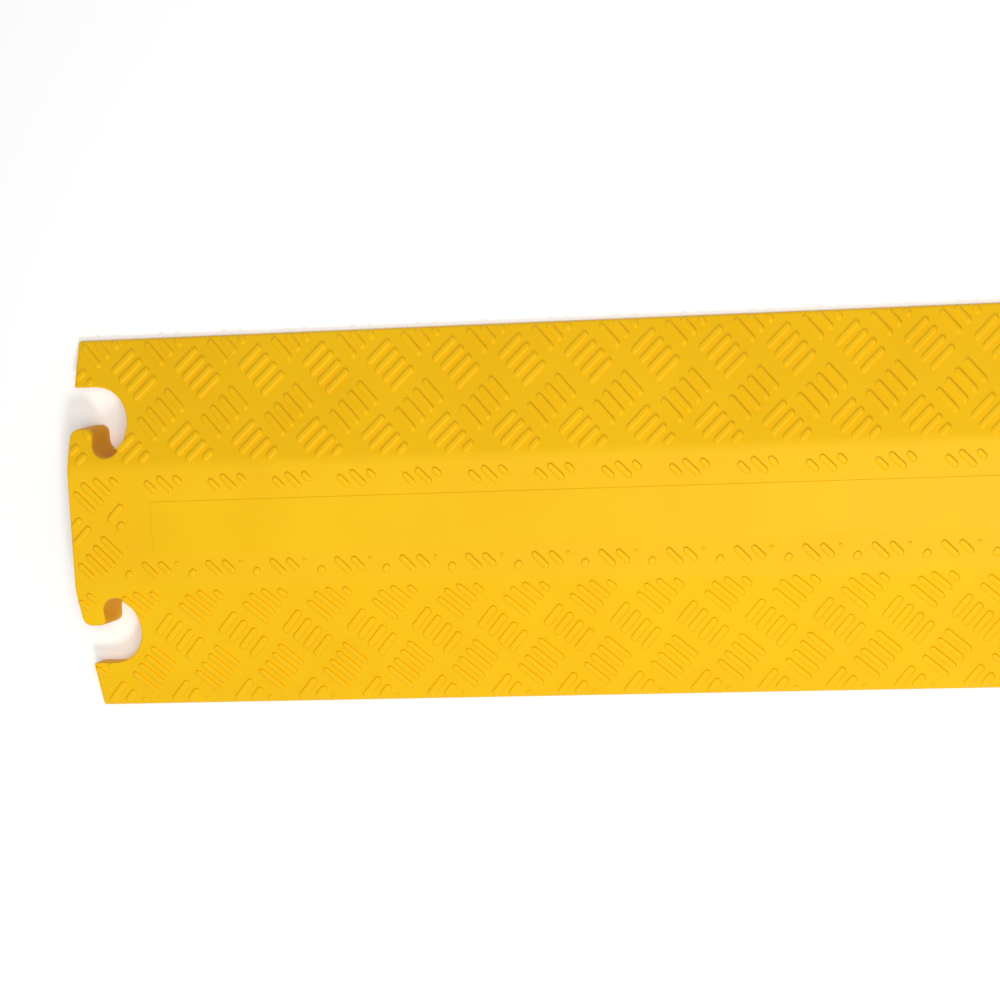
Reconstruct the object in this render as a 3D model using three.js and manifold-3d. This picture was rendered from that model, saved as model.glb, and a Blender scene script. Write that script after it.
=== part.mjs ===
// Drop-over cable protector ramp: one yellow moulding that lies on the ground over cables.
// Two slopes rise to a flat deck. Two cable channels run lengthwise under the deck, open below.
// The left end has a pair of lock sockets and the right end a pair of hooks that drop into the
// sockets of the next ramp. The moulding is built here region by region, one solid for each, so
// that every channel, socket and hook keeps its own walls.
//
// Millimetres. +X runs along the ramp towards the hooks, +Y across it to the far side, +Z up.
// The origin is the centre of the bounding box's base, on the ground.

import * as THREE from 'three';
import { mergeVertices } from 'three/addons/utils/BufferGeometryUtils.js';
import Module from 'manifold-3d';

const wasm = await Module();
wasm.setup();

// ---- driving dimensions ----

const rampWidth = 300;          // across the ramp, ground edge to ground edge
const bodyLength = 852;         // end face to end face, without the hooks
const deckHeight = 49.4;        // smooth deck between the tread bars, above the ground
const edgeHeight = 5;           // upright face along each long edge

const channelWidth = 38;        // each cable channel
const channelHeight = 34;       // ground to the channel's ceiling
const centreRibWidth = 8;       // wall between the two channels
const creaseShoulder = 7.9;     // from a channel's outer wall to the crease above it

const bowlRadius = 31.6;        // round end of a socket
const bowlCentreIn = 17.4;      // from the end face
const bowlCentreOut = 81.7;     // from the centre line
const notchRadius = 12.6;       // pocket behind the lug, where the hook's toe locks
const notchTurn = 38.4;         // degrees the bowl turns past the ramp's direction to the notch
const lugCover = 10.8;          // lug's tip past the notch's centre, away from the centre line
const lugOuterRadius = 7;       // lug's corner at the end face
const lugInnerRadius = 6;       // lug's corner at the notch
const hookClearance = 1;        // between a hook and the socket that it drops into

const panelEndMargin = 70.5;    // end face to the name panel
const panelHalfWidth = 21;
const panelRise = 0.6;          // panel's face above the deck
const panelThickness = 2.4;

const socketRegionMargin = 12;  // material kept behind the bowl before the slope solid starts
const gap = 0.3;                // between neighbouring solids
const arcSteps = 20;            // facets in a half turn

// ---- worked out from them ----

const halfWidth = rampWidth / 2;
const hookReach = bowlCentreIn + bowlRadius - hookClearance;
const leftEnd = -(bodyLength + hookReach) / 2;
const rightEnd = leftEnd + bodyLength;
const channelOuter = centreRibWidth / 2 + channelWidth;
const deckHalfWidth = channelOuter + creaseShoulder;
const lipStart = bowlCentreOut + bowlRadius;
const notchAngle = -THREE.MathUtils.degToRad(notchTurn);
// The notch circle touches the bowl circle from inside, so the wall runs on smoothly.
const notchCentreIn = bowlCentreIn + (bowlRadius - notchRadius) * Math.cos(notchAngle);
const notchCentreOut = bowlCentreOut + (bowlRadius - notchRadius) * Math.sin(notchAngle);
const notchFloor = notchCentreOut - notchRadius;
const lugWidth = notchCentreIn - notchRadius;
const lugReach = notchCentreOut + lugCover;
const slopeStart = leftEnd + bowlCentreIn + bowlRadius + socketRegionMargin;
const beyond = 20;              // how far a cutting prism runs past the material

// ---- solids from outlines ----

// Closed three.js geometry to a manifold solid: shared corners are merged first.
function toSolid(geometry) {
  const plain = geometry.index ? geometry.toNonIndexed() : geometry.clone();
  plain.deleteAttribute('normal');
  plain.deleteAttribute('uv');
  const merged = mergeVertices(plain, 1e-4);
  return new wasm.Manifold(new wasm.Mesh({
    numProp: 3,
    vertProperties: new Float32Array(merged.attributes.position.array),
    triVerts: new Uint32Array(merged.index.array),
  }));
}

function toGeometry(solid) {
  const mesh = solid.getMesh();
  const geometry = new THREE.BufferGeometry();
  geometry.setAttribute('position', new THREE.BufferAttribute(mesh.vertProperties, 3));
  geometry.setIndex(new THREE.BufferAttribute(mesh.triVerts, 1));
  const flat = geometry.toNonIndexed();
  flat.computeVertexNormals();
  return flat;
}

// Cross-section in (Y, Z), run along X from one station to another.
function alongRamp(outline, fromX, toX) {
  const geometry = new THREE.ExtrudeGeometry(new THREE.Shape(outline), {
    depth: toX - fromX,
    bevelEnabled: false,
  });
  const turn = new THREE.Matrix4().makeBasis(
    new THREE.Vector3(0, 1, 0),
    new THREE.Vector3(0, 0, 1),
    new THREE.Vector3(1, 0, 0),
  );
  geometry.applyMatrix4(turn);
  geometry.translate(fromX, 0, 0);
  return toSolid(geometry);
}

// Plan outline in (X, Y), run upward through the whole height.
function upright(outline) {
  const geometry = new THREE.ExtrudeGeometry(new THREE.Shape(outline), {
    depth: deckHeight + 2 * beyond,
    bevelEnabled: false,
  });
  geometry.translate(0, 0, -beyond);
  return toSolid(geometry);
}

function rectangle(lowX, highX, lowY, highY) {
  return [
    new THREE.Vector2(lowX, lowY),
    new THREE.Vector2(highX, lowY),
    new THREE.Vector2(highX, highY),
    new THREE.Vector2(lowX, highY),
  ];
}

// Points of a circular arc, both ends included, angles in radians.
function arc(centreX, centreY, radius, startAngle, endAngle) {
  const steps = Math.max(2, Math.ceil(arcSteps * Math.abs(endAngle - startAngle) / Math.PI));
  const points = [];
  for (let step = 0; step <= steps; step += 1) {
    const angle = startAngle + (endAngle - startAngle) * step / steps;
    points.push(new THREE.Vector2(
      centreX + radius * Math.cos(angle),
      centreY + radius * Math.sin(angle),
    ));
  }
  return points;
}

// The far side is drawn once, and side = -1 mirrors it to the near side.
function mirrored(outline, side) {
  return outline.map((point) => new THREE.Vector2(point.x, side * point.y));
}

// ---- outlines ----

// Slope with the channel's outer wall: upright at the ground edge, straight up to the crease.
function slopeSection(side) {
  const section = [
    new THREE.Vector2(channelOuter, 0),
    new THREE.Vector2(halfWidth, 0),
    new THREE.Vector2(halfWidth, edgeHeight),
    new THREE.Vector2(deckHalfWidth, deckHeight),
    new THREE.Vector2(channelOuter, deckHeight),
  ];
  return section.map((point) => new THREE.Vector2(side * point.x, point.y));
}

// Plan of a lock, with X measured inward from the end face: a straight mouth, a round bowl that
// runs smoothly into the notch behind the lug, and the lug's rounded tip. A clearance shrinks it
// all round, which turns the socket's outline into the hook's.
function lockOutline(clearance) {
  const bowl = bowlRadius - clearance;
  const notch = notchRadius - clearance;
  const lugSide = lugWidth + clearance;
  const lugTip = lugReach + clearance;
  const inner = lugInnerRadius + clearance;
  const outer = lugOuterRadius + clearance;
  return [
    new THREE.Vector2(-beyond, lugTip - outer),
    new THREE.Vector2(-beyond, lipStart - clearance),
    ...arc(bowlCentreIn, bowlCentreOut, bowl, Math.PI / 2, 0),
    ...arc(bowlCentreIn, bowlCentreOut, bowl, 0, notchAngle).slice(1),
    ...arc(notchCentreIn, notchCentreOut, notch, notchAngle, -Math.PI).slice(1),
    ...arc(lugSide - inner, lugTip - inner, inner, 0, Math.PI / 2),
    ...arc(outer, lugTip - outer, outer, Math.PI / 2, Math.PI),
  ];
}

function lockPrism(clearance, endFace, side) {
  const outline = lockOutline(clearance);
  const placed = outline.map((point) => new THREE.Vector2(point.x + endFace, point.y));
  return upright(mirrored(placed, side));
}

// ---- regions of the moulding ----

function slope(side) {
  return alongRamp(slopeSection(side), slopeStart, rightEnd);
}

// Everything between the channel and the ground edge at the left end, socket cut out.
function socketEnd(side) {
  const block = alongRamp(slopeSection(side), leftEnd, slopeStart - gap);
  return block.subtract(lockPrism(0, leftEnd, side));
}

function lugArea(side, margin) {
  const outline = rectangle(
    leftEnd - beyond,
    leftEnd + lugWidth + margin,
    notchFloor - margin,
    lipStart - 1,
  );
  return upright(mirrored(outline, side));
}

function lipArea(side, margin) {
  const outline = rectangle(
    leftEnd - beyond,
    leftEnd + bowlCentreIn + margin,
    lipStart - 1,
    halfWidth + beyond,
  );
  return upright(mirrored(outline, side));
}

function socketLug(side) {
  return socketEnd(side).intersect(lugArea(side, 0));
}

function socketLip(side) {
  return socketEnd(side).intersect(lipArea(side, 0));
}

// Curved wall round the bowl and notch, with the channel wall beside it.
function socketBowl(side) {
  return socketEnd(side).subtract(lugArea(side, gap)).subtract(lipArea(side, gap));
}

// Hooks: the lock outline less its clearance, following the slope's section.
function hook(side) {
  const block = alongRamp(slopeSection(side), rightEnd + gap, rightEnd + hookReach + beyond);
  return block.intersect(lockPrism(hookClearance, rightEnd, side));
}

const headStart = rightEnd + lugWidth + hookClearance;

function hookNeck(side) {
  const area = rectangle(rightEnd, headStart - gap, notchFloor, halfWidth);
  return hook(side).intersect(upright(mirrored(area, side)));
}

function hookHead(side) {
  const area = rectangle(headStart, headStart + beyond + hookReach, 0, halfWidth);
  return hook(side).intersect(upright(mirrored(area, side)));
}

const panelStart = leftEnd + panelEndMargin;
const panelEnd = rightEnd - panelEndMargin;
const panelTop = deckHeight + panelRise;

// Deck between the creases' channel walls, with a shallow seat for the name panel.
function deckSlab() {
  const reach = channelOuter - gap;
  const slab = alongRamp(rectangle(-reach, reach, channelHeight, deckHeight), leftEnd, rightEnd);
  const seatReach = panelHalfWidth + gap;
  const seatFloor = panelTop - panelThickness - gap;
  const seat = alongRamp(
    rectangle(-seatReach, seatReach, seatFloor, deckHeight + beyond),
    panelStart - gap,
    panelEnd + gap,
  );
  return slab.subtract(seat);
}

function namePanel() {
  const section = rectangle(-panelHalfWidth, panelHalfWidth, panelTop - panelThickness, panelTop);
  return alongRamp(section, panelStart, panelEnd);
}

function centreRib() {
  const half = centreRibWidth / 2;
  return alongRamp(rectangle(-half, half, 0, channelHeight - gap), leftEnd, rightEnd);
}

// ---- assembly ----

const group = new THREE.Group();

function add(name, solid, colour, roughness) {
  const material = new THREE.MeshStandardMaterial({ color: colour, roughness, metalness: 0 });
  const mesh = new THREE.Mesh(toGeometry(solid), material);
  mesh.name = name;
  group.add(mesh);
}

add('deck_slab', deckSlab(), '#f2b01c', 0.5);
add('name_panel', namePanel(), '#f6b626', 0.42);
add('centre_rib', centreRib(), '#c98a12', 0.6);

for (const [prefix, side] of [['far', 1], ['near', -1]]) {
  add(`${prefix}_slope`, slope(side), '#eeab1a', 0.5);
  add(`${prefix}_socket_bowl`, socketBowl(side), '#eca817', 0.52);
  add(`${prefix}_socket_lug`, socketLug(side), '#efae1b', 0.52);
  add(`${prefix}_socket_lip`, socketLip(side), '#eba716', 0.52);
  add(`${prefix}_hook_neck`, hookNeck(side), '#eca817', 0.52);
  add(`${prefix}_hook_head`, hookHead(side), '#efad1a', 0.52);
}

export default group;
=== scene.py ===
# %% [markdown]
# # A drop-over cable protector ramp
# The object is one yellow moulding, taken to be polyurethane rubber. It lies on the ground over
# cables: two slopes rise to a flat deck, and the cables run in channels under the deck. The
# underside, the channels, the hooks and the right end are assumed. This file dresses the finished
# solids. It reads its main sizes from them, then builds the moulding's skin with its soft edges,
# the raised tread, the name panel, and the materials.

import math
import bmesh
import bpy
import numpy as np
from mathutils import Matrix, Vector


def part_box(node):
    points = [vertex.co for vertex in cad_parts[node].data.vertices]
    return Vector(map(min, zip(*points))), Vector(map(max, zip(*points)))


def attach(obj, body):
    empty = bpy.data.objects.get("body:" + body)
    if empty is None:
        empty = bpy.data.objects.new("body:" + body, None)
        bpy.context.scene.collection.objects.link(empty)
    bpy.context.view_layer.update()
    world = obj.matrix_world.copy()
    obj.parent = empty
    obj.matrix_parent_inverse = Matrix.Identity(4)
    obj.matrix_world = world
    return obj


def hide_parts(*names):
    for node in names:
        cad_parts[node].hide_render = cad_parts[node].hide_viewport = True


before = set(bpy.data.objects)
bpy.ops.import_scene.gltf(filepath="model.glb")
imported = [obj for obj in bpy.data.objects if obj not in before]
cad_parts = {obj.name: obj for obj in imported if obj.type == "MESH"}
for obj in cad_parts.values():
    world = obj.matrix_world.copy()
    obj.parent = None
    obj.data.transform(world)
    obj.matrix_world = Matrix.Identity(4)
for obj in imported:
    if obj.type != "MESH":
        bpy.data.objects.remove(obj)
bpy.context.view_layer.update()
MM = 0.001
print("solids:", sorted(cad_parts))

# %% [markdown]
# ## The camera
# A long lens far away keeps the two long edges almost parallel. The camera looks steeply down,
# a little from the hooked end and a little from the far side, and it is turned a few degrees
# about its own axis, so the ramp runs slightly uphill across the frame. The camera comes first,
# because everything after it is judged through it.

# %% Camera
CAMERA_TARGET = np.array([-0.0896, 0.0112, 0.025])
CAMERA_DIRECTION = np.array([0.3126, 0.0987, 0.9448])   # from the target to the camera
CAMERA_DISTANCE = 4.1965
CAMERA_ROLL = math.radians(3.645)
LENS_MM = 189.8


def place_camera(target, direction, distance, roll, lens):
    """Aims along minus direction. The image's right side starts level with +X, and the roll
    then turns it clockwise about the line of sight."""
    back = direction / np.linalg.norm(direction)
    right = np.cross([0.0, 1.0, 0.0], back)
    right /= np.linalg.norm(right)
    up = np.cross(back, right)
    turned_right = math.cos(roll) * right - math.sin(roll) * up
    turned_up = math.cos(roll) * up + math.sin(roll) * right
    camera = bpy.data.objects.new("camera", bpy.data.cameras.new("camera"))
    bpy.context.scene.collection.objects.link(camera)
    matrix = np.eye(4)
    matrix[:3, :3] = np.stack([turned_right, turned_up, back], axis=1)
    matrix[:3, 3] = target + back * distance
    camera.matrix_world = Matrix(matrix.tolist())
    camera.data.lens = lens
    camera.data.clip_start, camera.data.clip_end = 0.1, 50
    bpy.context.scene.camera = camera
    return camera


camera = place_camera(CAMERA_TARGET, CAMERA_DIRECTION, CAMERA_DISTANCE, CAMERA_ROLL, LENS_MM)
print("camera at", [round(value, 3) for value in camera.location])

# %% [markdown]
# ## Node helper and colours
# Colours are written as sRGB hex, as on a colour card, and one function turns them into the
# linear values that the renderer works in. One small function adds a shader node, sets its
# settings and makes its links, so that each material below reads as a short list of steps.

# %% Colour and node helpers


def linear(hex_colour):
    """sRGB hex to linear RGBA: a straight part near black, then the 2.4 power curve."""
    channels = np.array([int(hex_colour[i:i + 2], 16) for i in (1, 3, 5)]) / 255
    straight = channels / 12.92
    curved = ((channels + 0.055) / 1.055) ** 2.4
    return (*np.where(channels <= 0.04045, straight, curved), 1.0)


def add_node(tree, kind, settings=None, inputs=None):
    """Adds one node. A setting is an attribute; an input is a value or another node's socket."""
    node = tree.nodes.new(kind)
    for name, value in (settings or {}).items():
        setattr(node, name, value)
    for name, value in (inputs or {}).items():
        if isinstance(value, bpy.types.NodeSocket):
            tree.links.new(value, node.inputs[name])
        else:
            node.inputs[name].default_value = value
    return node


print("yellow in linear light:", [round(value, 3) for value in linear("#f0bc05")[:3]])

# %% [markdown]
# ## Sizes of the moulding
# The solids carry the design, so the looks take their sizes from them: the end faces from the
# deck, the long edges from the slopes, and the lock sockets from the lugs, lips and hooks. What
# their boxes can't show is given here: a few of the solids' own sizes, such as the notch's
# radius, and the soft radii of the moulded edges.

# %% Sizes read from the solids
deck_low, deck_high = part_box("deck_slab")
slope_low, slope_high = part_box("far_slope")
lug_low, lug_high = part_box("far_socket_lug")
lip_low, lip_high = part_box("far_socket_lip")
head_low, head_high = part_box("far_hook_head")
neck_low, neck_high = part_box("far_hook_neck")
rib_low, rib_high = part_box("centre_rib")
panel_low, panel_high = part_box("name_panel")

LEFT_END = deck_low.x
RIGHT_END = deck_high.x
HALF_WIDTH = slope_high.y
DECK_TOP = deck_high.z
CREASE_SHOULDER = 7.9 * MM      # from a channel's outer wall to the crease above it
EDGE_HEIGHT = 5.0 * MM          # upright face along each long edge

HOOK_CLEARANCE = 1.0 * MM
LUG_WIDTH = lug_high.x - lug_low.x
LUG_TIP = lug_high.y
LIP = lip_low.y
BOWL_IN = lip_high.x - LEFT_END
BOWL_RADIUS = head_high.x - RIGHT_END + HOOK_CLEARANCE - BOWL_IN
BOWL_OUT = LIP - BOWL_RADIUS
NOTCH_RADIUS = 12.6 * MM
NOTCH_IN = LUG_WIDTH + NOTCH_RADIUS
NOTCH_ANGLE = -math.acos((NOTCH_IN - BOWL_IN) / (BOWL_RADIUS - NOTCH_RADIUS))
NOTCH_OUT = BOWL_OUT + (BOWL_RADIUS - NOTCH_RADIUS) * math.sin(NOTCH_ANGLE)
LUG_OUTER_RADIUS = 7.0 * MM
LUG_INNER_RADIUS = 6.0 * MM

CHANNEL_INNER = rib_high.y
CHANNEL_OUTER = slope_low.y
CHANNEL_TOP = deck_low.z
CHANNEL_RADIUS = 5.0 * MM
CREASE = CHANNEL_OUTER + CREASE_SHOULDER

CREASE_BLEND = 5.0 * MM         # half the width of the soft crease
CREASE_ROWS = 7                 # points across the crease
RIM_RADIUS = 1.6 * MM           # rounding of every top edge
FOOT_RADIUS = 0.6 * MM          # rounding where the walls meet the ground
LIP_CORNER = 1.6 * MM           # softening of the lip's inner corner, seen from above
GROUND_CORNER = 2.2 * MM        # softening of the four corners of the long edges
HOOK_CORNER = 2.5 * MM          # softening where the right end face turns in to the hook
SLOPE_RATE = (DECK_TOP - EDGE_HEIGHT) / (HALF_WIDTH - CREASE)
bowl = (BOWL_RADIUS, BOWL_IN, BOWL_OUT)
print("bowl radius and centre in mm:", [round(value / MM, 2) for value in bowl])

# %% [markdown]
# ## The moulding's section
# Across the ramp the top is a flat deck and two straight slopes. The crease between them is
# soft: a short parabola that leaves the deck level and joins the slope at its own steepness. One
# formula gives the height anywhere, and the skin and the tread both stand on it.

# %% Height of the smooth top


def top_height(across):
    """Deck height, less a parabola through the crease, less the slope's rate beyond it."""
    past = np.abs(across) - (CREASE - CREASE_BLEND)
    in_crease = SLOPE_RATE * np.clip(past, 0, 2 * CREASE_BLEND) ** 2 / (4 * CREASE_BLEND)
    on_slope = SLOPE_RATE * np.clip(past - 2 * CREASE_BLEND, 0, None)
    return DECK_TOP - in_crease - on_slope


print("height at the long edge in mm:", round(float(top_height(HALF_WIDTH)) / MM, 2))

# %% [markdown]
# ## The moulding's plan
# Seen from above, the outline runs up the left end face, round the lug, through the notch and
# the bowl of the socket, out along the lip, down the long edge, and round the hook, which is the
# same lock outline pulled in by the clearance. Only the far half is drawn. Each stretch is a
# straight run or an arc, and each sharp corner is softened by a short quadratic curve.

# %% Plan outline of the far half


def arc(centre, radius, start, end, step=1.2 * MM):
    """Points on a circle from one angle to another, in radians, about one step apart."""
    count = max(3, int(np.ceil(abs(end - start) * radius / step)) + 1)
    angle = np.linspace(start, end, count)
    return np.stack([centre[0] + radius * np.cos(angle), centre[1] + radius * np.sin(angle)], 1)


def soft_corner(before, corner, after, size, count=6):
    """Quadratic curve that leaves the corner's two sides at the given distance from it."""
    before, corner, after = (np.array(point, float) for point in (before, corner, after))
    start = corner + size * (before - corner) / np.linalg.norm(before - corner)
    end = corner + size * (after - corner) / np.linalg.norm(after - corner)
    t = np.linspace(0, 1, count)[:, None]
    return (1 - t) ** 2 * start + 2 * t * (1 - t) * corner + t ** 2 * end


def lock_curve(clearance, end_face):
    """From the lug's side of the mouth to the mouth's outer side, all of it as arcs: the lug's
    two rounded corners, the notch, and the bowl up to its furthest-out point. The notch circle
    touches the bowl circle from inside, so one arc runs smoothly into the next."""
    bowl, notch = BOWL_RADIUS - clearance, NOTCH_RADIUS - clearance
    outer, inner = LUG_OUTER_RADIUS + clearance, LUG_INNER_RADIUS + clearance
    lug_side, lug_tip = end_face + LUG_WIDTH + clearance, LUG_TIP + clearance
    return np.concatenate([
        arc((end_face + outer, lug_tip - outer), outer, np.pi, np.pi / 2),
        arc((lug_side - inner, lug_tip - inner), inner, np.pi / 2, 0),
        arc((end_face + NOTCH_IN, NOTCH_OUT), notch, -np.pi, NOTCH_ANGLE),
        arc((end_face + BOWL_IN, BOWL_OUT), bowl, NOTCH_ANGLE, np.pi / 2)[1:],
    ])


def end_face_stations():
    """Distances from the centre line and floor heights down one end face: level on the ground,
    over each channel's rounded mouth, and on to the crease."""
    corner = CHANNEL_TOP - CHANNEL_RADIUS
    rise = arc((CHANNEL_INNER + CHANNEL_RADIUS, corner), CHANNEL_RADIUS, np.pi, np.pi / 2)
    fall = arc((CHANNEL_OUTER - CHANNEL_RADIUS, corner), CHANNEL_RADIUS, np.pi / 2, 0)
    mouth = np.concatenate([[[CHANNEL_INNER, 0]], rise, fall, [[CHANNEL_OUTER, 0]]])
    crease = np.linspace(CREASE - CREASE_BLEND, CREASE + CREASE_BLEND, CREASE_ROWS)
    beyond = np.stack([crease, np.zeros_like(crease)], 1)
    return np.concatenate([[[0, 0]], mouth, beyond])


def far_outline():
    """Plan points (X, Y) with the floor height under each, from the middle of the left end face
    round the far side to the middle of the right end face."""
    stations = end_face_stations()
    left_face = np.stack([np.full(len(stations), LEFT_END), stations[:, 0]], 1)
    right_face = np.stack([np.full(len(stations), RIGHT_END), stations[:, 0]], 1)[::-1]
    hook_out = LIP - HOOK_CLEARANCE
    left_lip, left_edge = (LEFT_END, LIP), (LEFT_END, HALF_WIDTH)
    right_edge, hook_root = (RIGHT_END, HALF_WIDTH), (RIGHT_END, hook_out)
    in_bowl = (LEFT_END + BOWL_IN, LIP)
    along_hook = (RIGHT_END + BOWL_IN, hook_out)
    body = np.concatenate([
        lock_curve(0, LEFT_END),
        soft_corner(in_bowl, left_lip, left_edge, LIP_CORNER),
        soft_corner(left_lip, left_edge, right_edge, GROUND_CORNER),
        soft_corner(left_edge, right_edge, (RIGHT_END, LIP), GROUND_CORNER),
        soft_corner(right_edge, hook_root, along_hook, HOOK_CORNER),
        lock_curve(HOOK_CLEARANCE, RIGHT_END)[::-1],
    ])
    plan = np.concatenate([left_face, body, right_face])
    floor = np.concatenate([stations[:, 1], np.zeros(len(body)), stations[::-1, 1]])
    return plan, floor


far_plan, far_floor = far_outline()
near_plan = far_plan[::-1][1:-1] * [1, -1]
plan = np.concatenate([far_plan, near_plan])
floor_height = np.concatenate([far_floor, far_floor[::-1][1:-1]])
print("points round the outline:", len(plan))

# %% [markdown]
# ## The skin
# The walls are a profile carried round the outline: up from a slightly rounded foot, then over
# a quarter circle onto the top. Each point of the profile is a step inward and a height, so the
# whole band is one grid. The top is closed by one flat polygon for each slope, one for the deck
# and narrow strips through the creases. The channels are their own profile run lengthwise.

# %% Band, top, underside and channels


def inward(points):
    """Unit step inward at each point of the closed outline, lengthened at corners so that both
    neighbouring walls move in by the same amount. The outline runs clockwise seen from above,
    so inward is to the right of the direction of travel. Repeated points share one direction."""
    step = np.roll(points, -1, axis=0) - points
    length = np.linalg.norm(step, axis=1)
    moving = np.flatnonzero(length > 1e-7)
    following = moving[np.searchsorted(moving, np.arange(len(points))) % len(moving)]
    leading = moving[(np.searchsorted(moving, np.arange(len(points))) - 1) % len(moving)]
    side = np.stack([step[:, 1], -step[:, 0]], 1) / np.maximum(length, 1e-12)[:, None]
    ahead, behind = side[following], side[leading]
    return (ahead + behind) / (1 + np.sum(ahead * behind, axis=1))[:, None]


def skin_band(points, floors):
    """Grid of (outline, profile) points. The profile is a small quarter circle at the foot, an
    upright wall, and a quarter circle of the rim radius that ends level on the top."""
    turn = np.linspace(0, np.pi / 2, 6)
    rim_in = RIM_RADIUS * (1 - np.cos(turn))
    rim_drop = RIM_RADIUS * (1 - np.sin(turn))
    direction = inward(points)
    columns = []
    foot = np.where(floors > 0, 0, FOOT_RADIUS)
    for share in np.linspace(0, 1, 3):
        angle = share * np.pi / 2
        moved = points + direction * (foot * (1 - np.sin(angle)))[:, None]
        columns.append(np.column_stack([moved, floors + foot * (1 - np.cos(angle))]))
    for step_in, drop in zip(rim_in, rim_drop):
        moved = points + direction * step_in
        columns.append(np.column_stack([moved, top_height(moved[:, 1]) - drop]))
    return np.stack(columns, axis=1)


band = skin_band(plan, floor_height)
print("skin band grid:", band.shape)

# %% Skin mesh


def ring_faces(around, along):
    """Quads of a grid that closes on itself round its first direction."""
    row = np.arange(around)[:, None]
    column = np.arange(along - 1)[None, :]
    following = (row + 1) % around
    quads = np.stack([
        row * along + column,
        row * along + column + 1,
        following * along + column + 1,
        following * along + column,
    ], -1)
    return quads.reshape(-1, 4).tolist()


def mesh_from(name, vertices, faces, face_slots, materials):
    """A mesh object at the origin. Shared points are merged and the faces turned outward."""
    mesh = bpy.data.meshes.new(name)
    mesh.from_pydata(np.asarray(vertices).tolist(), [], faces)
    mesh.polygons.foreach_set("material_index", np.asarray(face_slots, np.int32))
    work = bmesh.new()
    work.from_mesh(mesh)
    bmesh.ops.remove_doubles(work, verts=work.verts, dist=2e-6)
    bmesh.ops.dissolve_degenerate(work, edges=work.edges, dist=1e-6)
    bmesh.ops.recalc_face_normals(work, faces=work.faces)
    open_edges = sum(1 for edge in work.edges if len(edge.link_faces) != 2)
    work.to_mesh(mesh)
    work.free()
    mesh.polygons.foreach_set("use_smooth", np.ones(len(mesh.polygons), bool))
    for material in materials:
        mesh.materials.append(material)
    piece = bpy.data.objects.new(name, mesh)
    bpy.context.scene.collection.objects.link(piece)
    print(name, "faces:", len(mesh.polygons), "edges not shared by two faces:", open_edges)
    return piece


def sharpen_and_weight(piece, sharp_degrees=42):
    """Marks the edges over an angle as sharp, then lets the large flat faces set the normals, so
    that only the rounded edges carry a gradient."""
    work = bmesh.new()
    work.from_mesh(piece.data)
    limit = math.radians(sharp_degrees)
    for edge in work.edges:
        edge.smooth = len(edge.link_faces) == 2 and edge.calc_face_angle(0) < limit
    work.to_mesh(piece.data)
    work.free()
    modifier = piece.modifiers.new("even_shading", "WEIGHTED_NORMAL")
    modifier.keep_sharp = True
    modifier.weight = 100


TOP, WALL, UNDER = 0, 1, 2


def build_skin(materials):
    """Band, then the top's polygons from the band's inner ring, then the underside."""
    around, along = band.shape[:2]
    faces = ring_faces(around, along)
    wall_rows = 3
    slots = ([WALL] * wall_rows + [TOP] * (along - 1 - wall_rows)) * around
    top_ring = np.arange(around) * along + along - 1
    foot_ring = np.arange(around) * along
    count = len(far_plan)
    stations = len(end_face_stations())
    outer = stations - 1
    inner = stations - CREASE_ROWS
    for mirror in (False, True):
        at = (lambda i: (around - i) % around) if mirror else (lambda i: i)
        loop = [at(i) for i in range(outer, count - outer)]
        faces.append([int(top_ring[i]) for i in loop])
        slots.append(TOP)
        for step in range(inner, outer):
            corners = [at(step), at(step + 1), at(count - 2 - step), at(count - 1 - step)]
            faces.append([int(top_ring[i]) for i in corners])
            slots.append(TOP)
        channel_edge = inner - 1
        under = [at(i) for i in range(channel_edge, count - channel_edge)]
        faces.append([int(foot_ring[i]) for i in under])
        slots.append(UNDER)
        for step in range(0, channel_edge):
            corners = [at(step), at(step + 1), at(count - 2 - step), at(count - 1 - step)]
            faces.append([int(foot_ring[i]) for i in corners])
            slots.append(UNDER)
    left = [(around - i) % around for i in range(inner, 0, -1)] + list(range(0, inner + 1))
    right = list(range(count - 1 - inner, count)) + [count + i for i in range(0, inner)]
    faces.append([int(top_ring[i]) for i in left + right])
    slots.append(TOP)
    piece = mesh_from("moulded_body", band.reshape(-1, 3), faces, slots, materials)
    sharpen_and_weight(piece)
    return piece

# %% [markdown]
# ## The tread
# The tread is groups of four parallel raised bars. Groups that lean one way and groups that lean
# the other way alternate like the squares of a board, and the far slope and the deck share one
# pattern while the near slope carries its mirror image. Smooth margins run along the creases and
# round the name panel. A bar that a margin crosses is shorter, with the same round end, so each
# bar is found as a run of its own centre line that lies on allowed ground.

# %% Where the bars lie
TREAD_PITCH_ALONG = 55.32 * MM      # one group to the next of the same lean
TREAD_PITCH_ACROSS = 58.6 * MM
TREAD_START = 52.7 * MM             # first whole column, from the left end face
BAR_LENGTH = 24.8 * MM
BAR_WIDTH = 5.9 * MM
BAR_SPACING = 10.1 * MM
BAR_HEIGHT = 2.0 * MM
FAR_LEAN = 0.6      # the crown's move to the far side, as a share of each ring's step inward
BARS_IN_GROUP = 4
SHORTEST_BAR = 4.0 * MM
# The bars of one field and one lean are moved together off the even board. Each value is an
# estimate of that move along X and Y in mm. They are small enough to be partly error.
SET_SHIFT = {
    ("far", "forward"): (-0.9, 0.9), ("far", "back"): (-1.7, -1.7),
    ("deck", "forward"): (0.4, 0.3), ("deck", "back"): (-0.5, -0.5),
    ("near", "forward"): (1.1, -0.4), ("near", "back"): (-0.4, 0.3),
}

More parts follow.
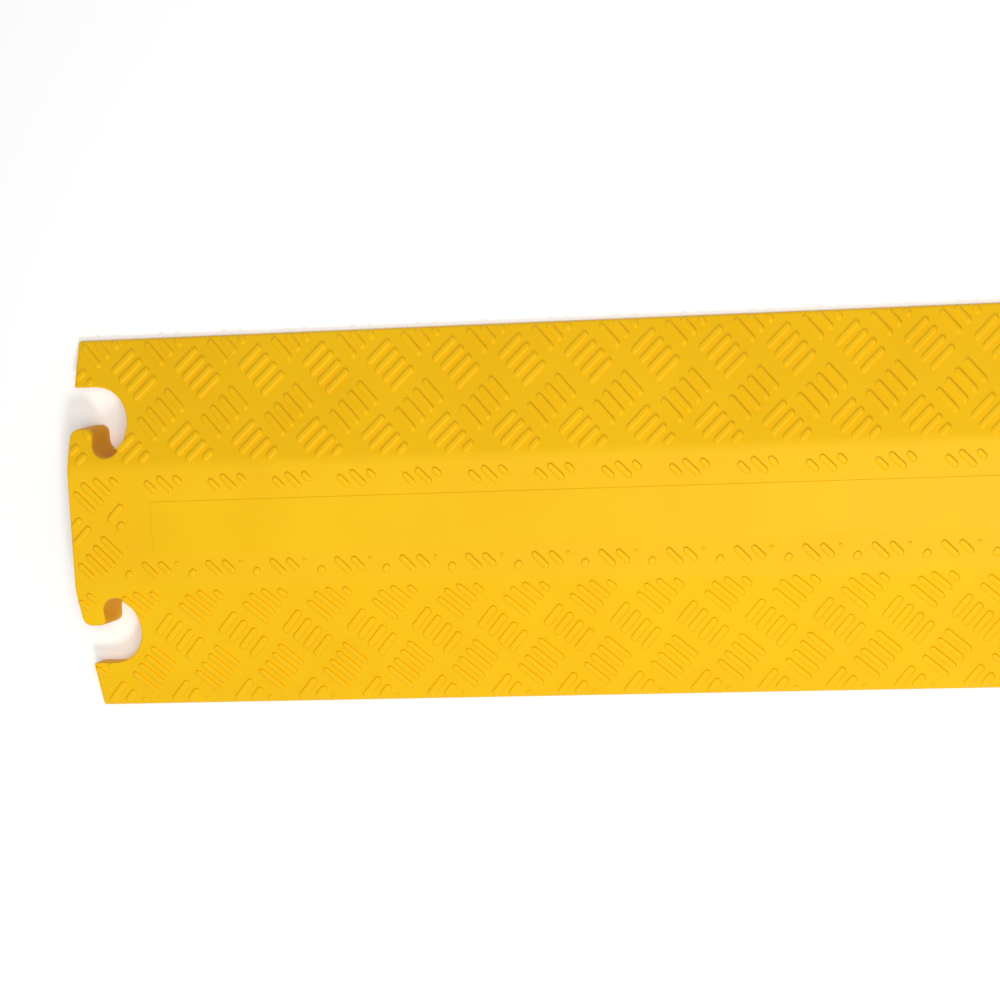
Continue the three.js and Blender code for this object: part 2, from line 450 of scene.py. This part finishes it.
MARGIN_SLOPE = 53.0 * MM            # a slope's tread starts this far from the centre line
MARGIN_DECK = 41.0 * MM             # the deck's tread ends this far from the centre line
MARGIN_PANEL = 28.5 * MM            # and starts this far from it, clear of the name panel
TONGUE_TREAD = 47.0 * MM            # tread across the middle of the deck, this far in from an end
RIM_MARGIN = 1.2 * MM


def in_lock(x_in, across, clearance):
    """True inside the lock outline: the mouth, the outer half of the bowl, or the notch."""
    mouth = (x_in < BOWL_IN) & (across > LUG_TIP + clearance) & (across < LIP - clearance)
    bowl = np.hypot(x_in - BOWL_IN, across - BOWL_OUT) < BOWL_RADIUS - clearance
    bowl &= (across > NOTCH_OUT) & (x_in > LUG_WIDTH + clearance)
    notch = np.hypot(x_in - NOTCH_IN, across - NOTCH_OUT) < NOTCH_RADIUS - clearance
    return mouth | bowl | notch


def tread_ground(x, y):
    """True where a bar's centre line may lie."""
    across = np.abs(y)
    from_left, from_right = x - LEFT_END, RIGHT_END - x
    socket = in_lock(from_left, across, -RIM_MARGIN)
    body = (from_left > RIM_MARGIN) & (from_right > RIM_MARGIN) & ~socket
    hook = (from_right <= RIM_MARGIN) & in_lock(-from_right, across, HOOK_CLEARANCE + RIM_MARGIN)
    edge = across < HALF_WIDTH - RIM_MARGIN
    slopes = across > MARGIN_SLOPE
    rows = (across < MARGIN_DECK) & (across > MARGIN_PANEL)
    tongues = (across < MARGIN_DECK) & (np.minimum(from_left, from_right) < TONGUE_TREAD)
    return (body | hook) & edge & (slopes | rows | tongues)


def bar_lines():
    """Centre, lean and field of every bar before the margins cut it. A leaning group's bars
    are stacked across their own direction."""
    columns = np.arange(-1, 18)
    rows = np.arange(-3, 3)
    order = np.arange(BARS_IN_GROUP) - (BARS_IN_GROUP - 1) / 2
    stack = BAR_SPACING * np.sqrt(0.5)
    found = []
    for mirror in (1, -1):
        for shift, lean in ((0.0, 1), (0.5, -1)):
            column, row, place = np.meshgrid(columns, rows, order, indexing="ij")
            x = LEFT_END + TREAD_START + (column + shift) * TREAD_PITCH_ALONG
            y = HALF_WIDTH - 0.5 * TREAD_PITCH_ACROSS + (row - 2 + shift) * TREAD_PITCH_ACROSS
            direction = "forward" if lean * mirror > 0 else "back"
            own = np.array(SET_SHIFT["far" if mirror > 0 else "near", direction]) * MM
            on_deck = (y < CREASE)[..., None] & (mirror > 0)
            moved = np.where(on_deck, np.array(SET_SHIFT["deck", direction]) * MM, own)
            x = x + place * stack + moved[..., 0]
            y = (y - lean * place * stack) * mirror + moved[..., 1]
            angle = np.full(x.shape, lean * mirror * np.pi / 4)
            field = np.full(x.shape, mirror)
            found.append(np.stack([v.ravel() for v in (x, y, angle, field)], 1))
    return np.concatenate(found)


def cut_bars(bars, samples=161):
    """Samples each centre line and keeps its longest run on allowed ground. The near slope is
    the mirror image, so a bar of one field is dropped where the other field's pattern rules."""
    share = np.linspace(-0.5, 0.5, samples)
    direction = np.stack([np.cos(bars[:, 2]), np.sin(bars[:, 2])], 1)
    along = share[None, :] * BAR_LENGTH
    x = bars[:, 0, None] + along * direction[:, 0, None]
    y = bars[:, 1, None] + along * direction[:, 1, None]
    mirrored_ground = y < -CREASE
    own_ground = np.where(bars[:, 3, None] > 0, ~mirrored_ground, mirrored_ground)
    allowed = tread_ground(x, y) & own_ground
    run = np.zeros(allowed.shape)
    for step in range(samples):
        before = run[:, step - 1] if step else 0
        run[:, step] = (before + 1) * allowed[:, step]
    last = run.argmax(axis=1)
    count = run.max(axis=1)
    start = along[0, (last - np.maximum(count, 1) + 1).astype(int)]
    end = along[0, last]
    length = end - start
    keep = length > SHORTEST_BAR
    middle = bars[:, :2] + direction * ((start + end) / 2)[:, None]
    return middle[keep], bars[keep, 2], length[keep]


bar_middle, bar_angle, bar_length = cut_bars(bar_lines())
print("tread bars:", len(bar_length), "cut short:", int(np.sum(bar_length < 0.98 * BAR_LENGTH)))

# %% [markdown]
# ## The shape of a bar
# A bar is straight-sided with round ends. Its section is a blunt arch whose crown is moved
# towards the far side. That is a choice made for the shading, so that each bar is darkest along
# its far side. A real bar's section is probably even. All bars are worked out at once, from
# fewer than a hundred faces each. They start just under the skin, so no gap shows where they
# meet it.

# %% Tread mesh


def tread_mesh(material):
    """Ring k of each bar is a straight-sided outline with half-round ends. Where the ring lies a
    share s of the half width out from the centre line, it is lifted by the height times the
    0.6 power of (1 - s to the power 4) and moved towards the far side by a share of its step
    inward. The whole is turned to its lean and set on the skin."""
    half_turn = np.linspace(-np.pi / 2, np.pi / 2, 7)
    angle = np.concatenate([half_turn, half_turn + np.pi])
    end = np.repeat([1.0, -1.0], 7)
    out = np.array([1.0, 0.93, 0.8, 0.62, 0.42, 0.22])
    inset = np.concatenate([[-0.1 * MM], BAR_WIDTH / 2 * (1 - out)])
    rise = np.concatenate([[-0.5 * MM], BAR_HEIGHT * (1 - out ** 4) ** 0.6])
    half_length = bar_length / 2
    half_width = np.minimum(BAR_WIDTH / 2, half_length * 0.8)
    lower_if_short = np.clip(bar_length / (9 * MM), 0.55, 1)
    radius = np.maximum(half_width[:, None] - inset[None, :], 0.15 * MM)
    straight = np.maximum(half_length[:, None] - inset[None, :] - radius, 0.05 * MM)
    along = radius[:, :, None] * np.cos(angle) + straight[:, :, None] * end
    across = radius[:, :, None] * np.sin(angle)
    cos, sin = np.cos(bar_angle)[:, None, None], np.sin(bar_angle)[:, None, None]
    x = bar_middle[:, 0, None, None] + along * cos - across * sin
    y = bar_middle[:, 1, None, None] + along * sin + across * cos
    y = y + FAR_LEAN * np.maximum(inset, 0)[None, :, None]
    lift = np.where(rise > 0, rise[None, :] * lower_if_short[:, None], rise[None, :])
    z = top_height(y) + lift[:, :, None]
    vertices = np.stack([x, y, z], -1)
    bars, rings, points = x.shape
    index = np.arange(bars * rings * points).reshape(bars, rings, points)
    following = np.roll(index, -1, axis=2)
    quads = np.stack([index[:, :-1], following[:, :-1], following[:, 1:], index[:, 1:]], -1)
    faces = quads.reshape(-1, 4).tolist()
    faces += index[:, -1, :].tolist()
    faces += index[:, 0, ::-1].tolist()
    slots = np.zeros(len(faces))
    piece = mesh_from("tread_bars", vertices.reshape(-1, 3), faces, slots, [material])
    sharpen_and_weight(piece, 75)
    return piece

# %% [markdown]
# ## The name panel
# The name panel is a smooth pad that stands about half a millimetre above the deck, with a
# rounded rim. It carries no lettering and no badge here.

# %% Panel mesh


def panel_mesh(material):
    """Rounded rectangle: the rings shrink inward along a quarter circle while they rise to the
    panel's face, and one flat polygon closes the top."""
    corner = 2.5 * MM
    rim = 0.5 * MM
    turn = np.linspace(0, np.pi / 2, 5)
    step_in = np.concatenate([[0], rim * (1 - np.cos(turn))])
    height = np.concatenate([[-0.8 * MM], (panel_high.z - DECK_TOP) - rim * (1 - np.sin(turn))])
    quarter = np.linspace(0, np.pi / 2, 6)
    angle = np.concatenate([quarter + k * np.pi / 2 for k in range(4)])
    side_x = np.repeat([1, -1, -1, 1], 6)
    side_y = np.repeat([1, 1, -1, -1], 6)
    middle_x = (panel_low.x + panel_high.x) / 2
    centre_x = middle_x + side_x * ((panel_high.x - panel_low.x) / 2 - corner)
    centre_y = side_y * (panel_high.y - corner)
    x = centre_x[None, :] + (corner - step_in[:, None]) * np.cos(angle)
    y = centre_y[None, :] + (corner - step_in[:, None]) * np.sin(angle)
    z = np.broadcast_to(DECK_TOP + height[:, None], x.shape)
    vertices = np.stack([x, y, z], -1)
    rings, points = x.shape
    index = np.arange(rings * points).reshape(rings, points)
    following = np.roll(index, -1, axis=1)
    quads = np.stack([index[:-1], following[:-1], following[1:], index[1:]], -1)
    faces = quads.reshape(-1, 4).tolist() + [index[-1].tolist(), index[0, ::-1].tolist()]
    slots = np.zeros(len(faces))
    piece = mesh_from("name_panel_pad", vertices.reshape(-1, 3), faces, slots, [material])
    sharpen_and_weight(piece)
    return piece

# %% [markdown]
# ## Materials
# Every finish here is one recipe with other numbers: an opaque yellow, slightly glossy and never
# quite even. Soft clouds shift its colour and its gloss a little, and fine specks deepen it. A
# broad, shallow waviness stands for the sink of a thick casting, and a fine grain stands for
# orange peel. Their strengths are given in the recipe and its numbers.

# %% Moulded polyurethane


def moulded_rubber(name, light, deep, roughness, peel_mm, peel_depth, cloud_mm=90):
    """Object coordinates are metres, so a pattern of a given size in millimetres has a noise
    scale of 1000 over that size."""
    material = bpy.data.materials.new(name)
    material.use_nodes = True
    tree = material.node_tree
    tree.nodes.clear()
    place = add_node(tree, "ShaderNodeTexCoord").outputs["Object"]
    clouds = add_node(tree, "ShaderNodeTexNoise", inputs={
        "Vector": place, "Scale": 1000 / cloud_mm, "Detail": 4.0, "Roughness": 0.55})
    specks = add_node(tree, "ShaderNodeTexNoise", inputs={
        "Vector": place, "Scale": 1000 / 2.2, "Detail": 3.0, "Roughness": 0.6})
    peel = add_node(tree, "ShaderNodeTexNoise", inputs={
        "Vector": place, "Scale": 1000 / peel_mm, "Detail": 3.0, "Roughness": 0.5})
    sink = add_node(tree, "ShaderNodeTexNoise", inputs={
        "Vector": place, "Scale": 1000 / 38, "Detail": 2.0, "Roughness": 0.4})
    blend = add_node(tree, "ShaderNodeMapRange", inputs={
        "Value": clouds.outputs["Fac"], "From Min": 0.35, "From Max": 0.65})
    colour = add_node(tree, "ShaderNodeMix", {"data_type": "RGBA"}, {
        "Factor": blend.outputs["Result"], "A": linear(deep), "B": linear(light)})
    speck_share = add_node(tree, "ShaderNodeMapRange", inputs={
        "Value": specks.outputs["Fac"], "From Min": 0.62, "From Max": 0.78, "To Max": 0.25})
    flecked = add_node(tree, "ShaderNodeMix", {"data_type": "RGBA"}, {
        "Factor": speck_share.outputs["Result"], "A": colour.outputs[2], "B": linear(deep)})
    gloss = add_node(tree, "ShaderNodeMapRange", inputs={
        "Value": clouds.outputs["Fac"], "From Min": 0.3, "From Max": 0.7,
        "To Min": roughness - 0.05, "To Max": roughness + 0.06})
    sink_bump = add_node(tree, "ShaderNodeBump", inputs={
        "Height": sink.outputs["Fac"], "Distance": 0.35 * MM, "Strength": 0.5})
    peel_bump = add_node(tree, "ShaderNodeBump", inputs={
        "Height": peel.outputs["Fac"], "Distance": peel_depth * MM, "Strength": 0.6,
        "Normal": sink_bump.outputs["Normal"]})
    surface = add_node(tree, "ShaderNodeBsdfPrincipled", inputs={
        "Base Color": flecked.outputs[2], "Roughness": gloss.outputs["Result"],
        "IOR": 1.5, "Specular IOR Level": 0.2, "Normal": peel_bump.outputs["Normal"]})
    add_node(tree, "ShaderNodeOutputMaterial", inputs={"Surface": surface.outputs["BSDF"]})
    return material


# Top: an even yellow whose highlight is wide and soft.
top_finish = moulded_rubber("moulded_polyurethane_top", "#f0bc05", "#edb704", 0.5, 1.6, 0.05)
# Upright walls: rougher than the top, and a little deeper in colour, which is painted shade on
# the walls of the one moulding.
wall_finish_painted_shade = moulded_rubber("moulded_polyurethane_wall_painted_shade", "#eaae03", "#e2a202", 0.6, 1.4, 0.08)
# Underside, an assumed finish: the roughest, with the strongest grain, and the deepest in colour,
# which is painted shade under the moulding.
under_finish_painted_shade = moulded_rubber(
    "moulded_polyurethane_underside_painted_shade", "#dfa606", "#d49a05", 0.62, 2.4, 0.15)
# Tread bars: glossier than the top, and a touch lighter, which is painted light on the raised
# bars.
tread_finish_painted_light = moulded_rubber("moulded_polyurethane_tread_painted_light", "#f1bd05", "#eeb804", 0.46, 1.3, 0.04)
# Name panel: the glossiest finish here, with the faintest grain.
panel_finish = moulded_rubber("polished_mould_panel", "#f0bd05", "#edb804", 0.42, 2.6, 0.03)
finishes = [top_finish, wall_finish_painted_shade, under_finish_painted_shade, tread_finish_painted_light, panel_finish]
print("finishes:", [finish.name for finish in finishes])

# %% [markdown]
# ## Putting the pieces on the frame
# The skin shows the whole moulding, so it stands for every solid but the panel, and the tread
# rides with it.

# %% Pieces
skin = build_skin([top_finish, wall_finish_painted_shade, under_finish_painted_shade])
tread = tread_mesh(tread_finish_painted_light)
panel = panel_mesh(panel_finish)
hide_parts(*[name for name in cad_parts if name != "name_panel"])
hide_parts("name_panel")
for piece in (skin, tread, panel):
    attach(piece, "root")
print("pieces:", [piece.name for piece in (skin, tread, panel)])

# %% [markdown]
# ## Floor and light
# The ramp lies on a plain white floor under soft light: a pale surround fills the shade, a broad
# lamp hangs overhead, and a smaller one stands out on the near side. Both are on the hooked
# end's side of the middle. The smaller one makes each bar's near side brighter than its far side.

# %% Floor and light


def pale_floor():
    """A wide sheet just under the ramp's base."""
    reach = 6.0
    mesh = bpy.data.meshes.new("floor")
    corners = [(-reach, -reach, 0), (reach, -reach, 0), (reach, reach, 0), (-reach, reach, 0)]
    mesh.from_pydata([(x, y, -0.0002) for x, y, z in corners], [], [(0, 1, 2, 3)])
    sheet = bpy.data.objects.new("floor", mesh)
    bpy.context.scene.collection.objects.link(sheet)
    material = bpy.data.materials.new("pale_matt_floor")
    material.use_nodes = True
    surface = material.node_tree.nodes["Principled BSDF"]
    surface.inputs["Base Color"].default_value = linear("#ffffff")
    surface.inputs["Roughness"].default_value = 0.9
    mesh.materials.append(material)
    return sheet


def soft_lamp(name, position, target, size, power):
    """Square area lamp at a position, aimed at a target."""
    data = bpy.data.lights.new(name, "AREA")
    data.size = size
    data.energy = power
    lamp = bpy.data.objects.new(name, data)
    bpy.context.scene.collection.objects.link(lamp)
    aim = np.array(target, float) - np.array(position, float)
    back = -aim / np.linalg.norm(aim)
    side = np.cross([0.0, 1.0, 0.1], back)
    side /= np.linalg.norm(side)
    matrix = np.eye(4)
    matrix[:3, :3] = np.stack([side, np.cross(back, side), back], axis=1)
    matrix[:3, 3] = position
    lamp.matrix_world = Matrix(matrix.tolist())
    return lamp


floor = pale_floor()
world = bpy.data.worlds.new("pale_surround")
world.use_nodes = True
world.node_tree.nodes["Background"].inputs["Color"].default_value = linear("#ffffff")
world.node_tree.nodes["Background"].inputs["Strength"].default_value = 0.33
bpy.context.scene.world = world
soft_lamp("overhead_softbox", (0.45, 0.1, 2.6), (0.1, 0, 0), 1.6, 43)
soft_lamp("near_side_key", (0.5, -1.5, 2.15), (0, 0, 0), 0.5, 22.5)
bpy.context.scene.view_settings.view_transform = "Standard"
print("lights:", [lamp.name for lamp in bpy.data.lights])
